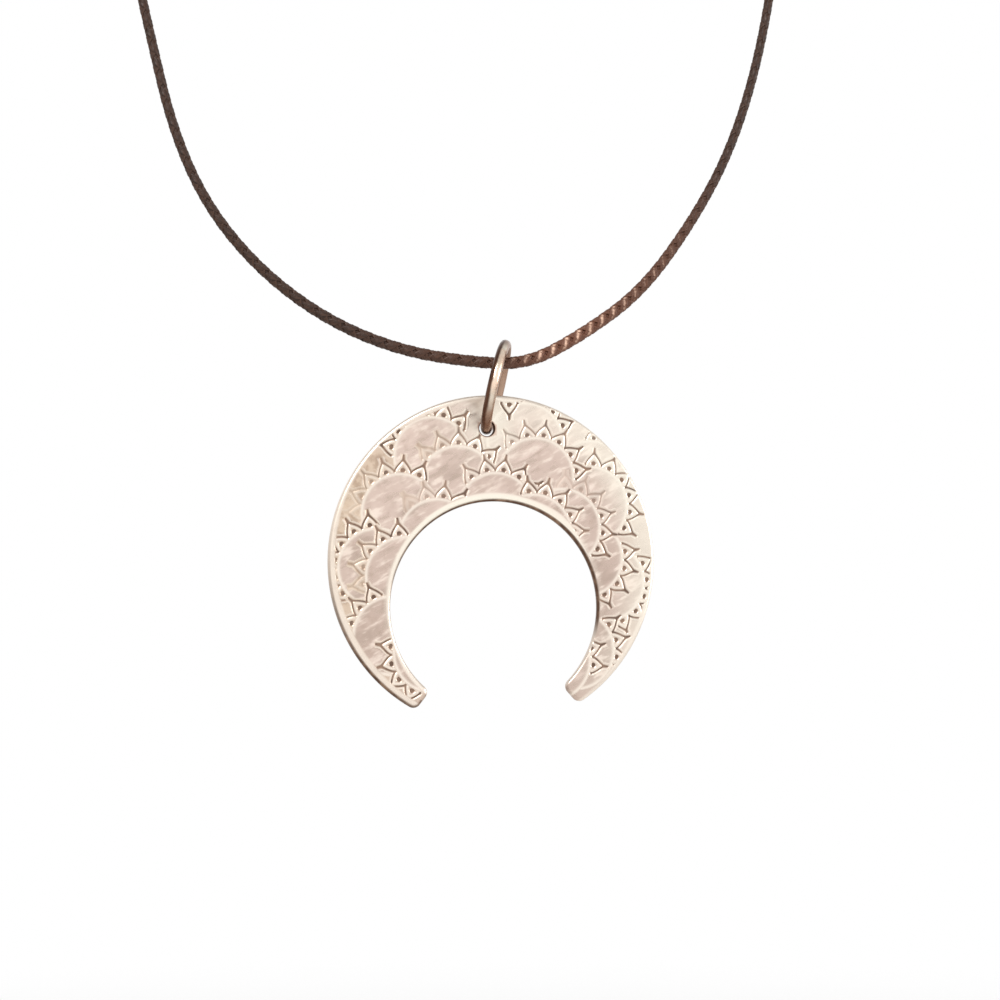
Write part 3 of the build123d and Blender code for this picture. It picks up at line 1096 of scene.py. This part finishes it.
def moon_copper():
    """Stamped copper: brushed discs, bright edges that are partly polish and partly painted
    highlight, brown oxide in the lines, painted shade in brown on parts of the rims and in tan
    towards the left, painted light on the right, burnish with painted highlight by the hole and
    bore, and a plain brushed back."""
    f = new_finish("stamped_copper")
    dark = f.attribute("dark")
    bright = f.attribute("bright")
    back = f.attribute("back")
    cloud = f.noise(*CLOUD)
    mottle = f.noise(*MOTTLE)
    patches = f.noise(*PATCHES)
    brushing = f.noise(*BRUSHING)
    hairlines = f.noise(*HAIRLINES)

    ground = f.run(cloud, *GROUND_RUN)
    # Painted shade in tan towards the left
    ground = f.blend(f.times(f.attribute("left_painted_shade"), TAN_SHARE), ground, f.run(mottle, *TAN_RUN))
    plate = f.blend(f.attribute("tone"), *DISC_COLOURS)
    plate = f.lay(plate, patches, *DULL_PATCHES)
    plate = f.lay(plate, patches, *CLEAR_PATCHES)
    plate = f.lay(plate, brushing, *BRIGHT_BRUSHING)
    plate = f.lay(plate, brushing, *DARK_BRUSHING)
    colour = f.blend(f.times(f.attribute("disc"), DISC_SHARE), ground, plate)
    colour = f.lay(colour, mottle, *TARNISH)
    # Bright edges and bands, partly polish and partly painted highlight
    colour = f.blend(bright, colour, WORN_AND_LIT_COLOUR)
    # Painted light on the right, burnish and painted highlight by the hole and bore
    colour = f.blend(f.times(f.attribute("glow"), BURNISHED_AND_LIT_SHARE), colour, BURNISHED_AND_LIT_COLOUR)
    colour = f.blend(f.range(dark, *LINE_LEVELS), colour, f.run(mottle, *LINE_RUN))
    colour = f.blend(back, colour, f.lay(f.run(brushing, *BACK_RUN), cloud, *BACK_CLOUD))
    # Painted shade in brown on the rims' edges and in the hanging hole
    colour = f.blend(f.attribute("edge"), colour, f.run(mottle, *EDGE_SHADE_RUN))

    rough = f.range(brushing, *DISC_ROUGHNESS)
    rough = f.number(back, rough, BACK_ROUGHNESS)
    rough = f.number(bright, rough, WORN_ROUGHNESS)
    rough = f.number(dark, rough, LINE_ROUGHNESS)
    normal = f.bump(hairlines, *HAIRLINE_BUMP, f.bump(brushing, *BRUSHING_BUMP))
    metal = f.range(dark, *MOON_METAL)
    return f.finish(Base_Color=colour, Metallic=metal, Roughness=rough, Normal=normal)


def clasp_copper():
    """Polished rose copper with fine wear scratches and a faint warm stain."""
    f = new_finish("clasp_copper")
    colour = f.run(f.noise(*CLASP_CLOUD), *CLASP_RUN)
    scratches = f.noise(*CLASP_SCRATCHES)
    rough = f.range(scratches, *CLASP_ROUGHNESS)
    normal = f.bump(scratches, *CLASP_BUMP)
    return f.finish(Base_Color=colour, Metallic=1.0, Roughness=rough, Normal=normal)


def ring_copper():
    """Copper wire with a painted highlight along it, dull at its foot and tip, and painted shade
    in brown on its sides and inside.
    """
    f = new_finish("ring_copper")
    cloud = f.noise(*RING_CLOUD)
    scratches = f.noise(*RING_SCRATCHES)
    uneven = f.times(f.math("SUBTRACT", cloud, 0.5), RING_UNEVENNESS)
    flank = f.math("ADD", f.attribute("flank"), uneven)
    within = f.range(f.attribute("inside"), *RING_INSIDE_LEVELS)

    # Painted highlight along the ring
    colour = f.blend(f.attribute("ring_highlight"), RING_DULL_COLOUR, f.run(cloud, *RING_RUN))
    # Painted shade on the inside and on the flanks, darker on the left
    colour = f.blend(f.times(within, RING_INSIDE_SHARE), colour, RING_INSIDE_COLOUR)
    colour = f.lay(colour, flank, *RING_RIGHT_FLANK)
    colour = f.lay(colour, flank, *RING_LEFT_FLANK)

    rough = f.number(within, f.range(scratches, *RING_ROUGHNESS), RING_INSIDE_ROUGHNESS)
    metal = f.number(within, 1.0, RING_INSIDE_METAL)
    normal = f.bump(scratches, *RING_BUMP)
    return f.finish(Base_Color=colour, Metallic=metal, Roughness=rough, Normal=normal)


def cord_material():
    """Dark brown waxed thread, with fibres that wind along each strand, painted light and shade by
    strand, and a painted copper sheen with painted glints by the ring.
    """
    f = new_finish("plaited_cord")
    fibre = f.range(f.math("SINE", f.attribute("thread")), -1.0, 1.0)
    fuzz = f.noise(*THREAD_FUZZ)
    shine = f.math("ADD", f.attribute("shine"), f.times(fuzz, GLINT_UNEVENNESS))

    # Painted light and shade by strand
    colour = f.blend(f.attribute("shade"), *THREAD_COLOURS)
    colour = f.blend(f.times(fibre, FIBRE_SHARE), colour, FIBRE_COLOUR)
    colour = f.lay(colour, fuzz, *DARK_FUZZ)
    # Painted copper sheen by the ring, and painted glints over it
    copper = f.times(f.attribute("warm"), THREAD_COPPER_SHEEN_SHARE)
    colour = f.blend(copper, colour, THREAD_COPPER_SHEEN_COLOUR)
    colour = f.blend(f.range(shine, *GLINT_LEVELS), colour, THREAD_GLINT_COLOUR)

    rough = f.range(fuzz, *THREAD_ROUGHNESS)
    normal = f.bump(fuzz, *FUZZ_BUMP, f.bump(fibre, *FIBRE_BUMP))
    gloss = THREAD_GLOSS
    return f.finish(Base_Color=colour, Roughness=rough, Normal=normal, Specular_IOR_Level=gloss)


def floor_finish():
    """Plain pale grey that thins out to the sky some way from the necklace."""
    f = new_finish("floor")
    f.finish(Base_Color=rgb(*FLOOR_COLOUR), Roughness=FLOOR_ROUGHNESS)
    place = f.node("TexCoord").outputs["Object"]
    away = f.node("VectorMath", [(0, place)], operation="LENGTH").outputs["Value"]
    clear = f.node("BsdfTransparent").outputs[0]
    thinned = [(0, f.range(away, *FLOOR_FADE)), (1, f.shader.outputs[0]), (2, clear)]
    surface = f.tree.nodes["Material Output"].inputs["Surface"]
    f.put(surface, f.node("MixShader", thinned).outputs[0])
    return f.owner


def studio_sky():
    """A sky that is white round the horizon and dims overhead and below."""
    f = Finish(bpy.data.worlds.new("studio"), "Background")
    ray = f.node("TexCoord").outputs["Generated"]
    height = f.node("SeparateXYZ", [(0, ray)]).outputs["Z"]
    above = f.range(height, *SKY_TOP_HEIGHTS, 1.0, SKY_TOP)
    below = f.range(height, *SKY_BOTTOM_HEIGHTS, SKY_BOTTOM, 1.0)
    return f.finish(Color=rgb(255, 255, 255), Strength=f.times(above, below))


def make_stage():
    """A plain pale floor below the necklace, a white sky and soft lights."""
    signs = [(-1, -1), (1, -1), (1, 1), (-1, 1)]
    corners = [(x * FLOOR_HALF_WIDTH, y * FLOOR_HALF_WIDTH, 0) for x, y in signs]
    mesh = bpy.data.meshes.new("floor")
    mesh.from_pydata(corners, [], [(0, 1, 2, 3)])
    floor = bpy.data.objects.new("floor", mesh)
    floor.location.z = cad_bounds[0][2] - FLOOR_DROP
    bpy.context.scene.collection.objects.link(floor)
    mesh.materials.append(floor_finish())
    bpy.context.scene.world = studio_sky()
    for name, place, size, power in LIGHTS:
        data = bpy.data.lights.new(name, "AREA")
        data.size = size
        data.energy = power
        light = bpy.data.objects.new(name, data)
        light.location = place
        aim = Vector(LIGHT_AIM) - Vector(place)
        light.rotation_euler = aim.to_track_quat("-Z", "Y").to_euler()
        bpy.context.scene.collection.objects.link(light)


def paint(piece, material):
    """Give a piece one material all over."""
    piece.data.materials.clear()
    piece.data.materials.append(material)


make_camera()
paint(make_cord(), cord_material())
paint(make_moon(), moon_copper())
paint(make_ring(), ring_copper())
paint(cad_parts["barrel_clasp"], clasp_copper())
make_stage()
bpy.context.scene.view_settings.view_transform = "Standard"
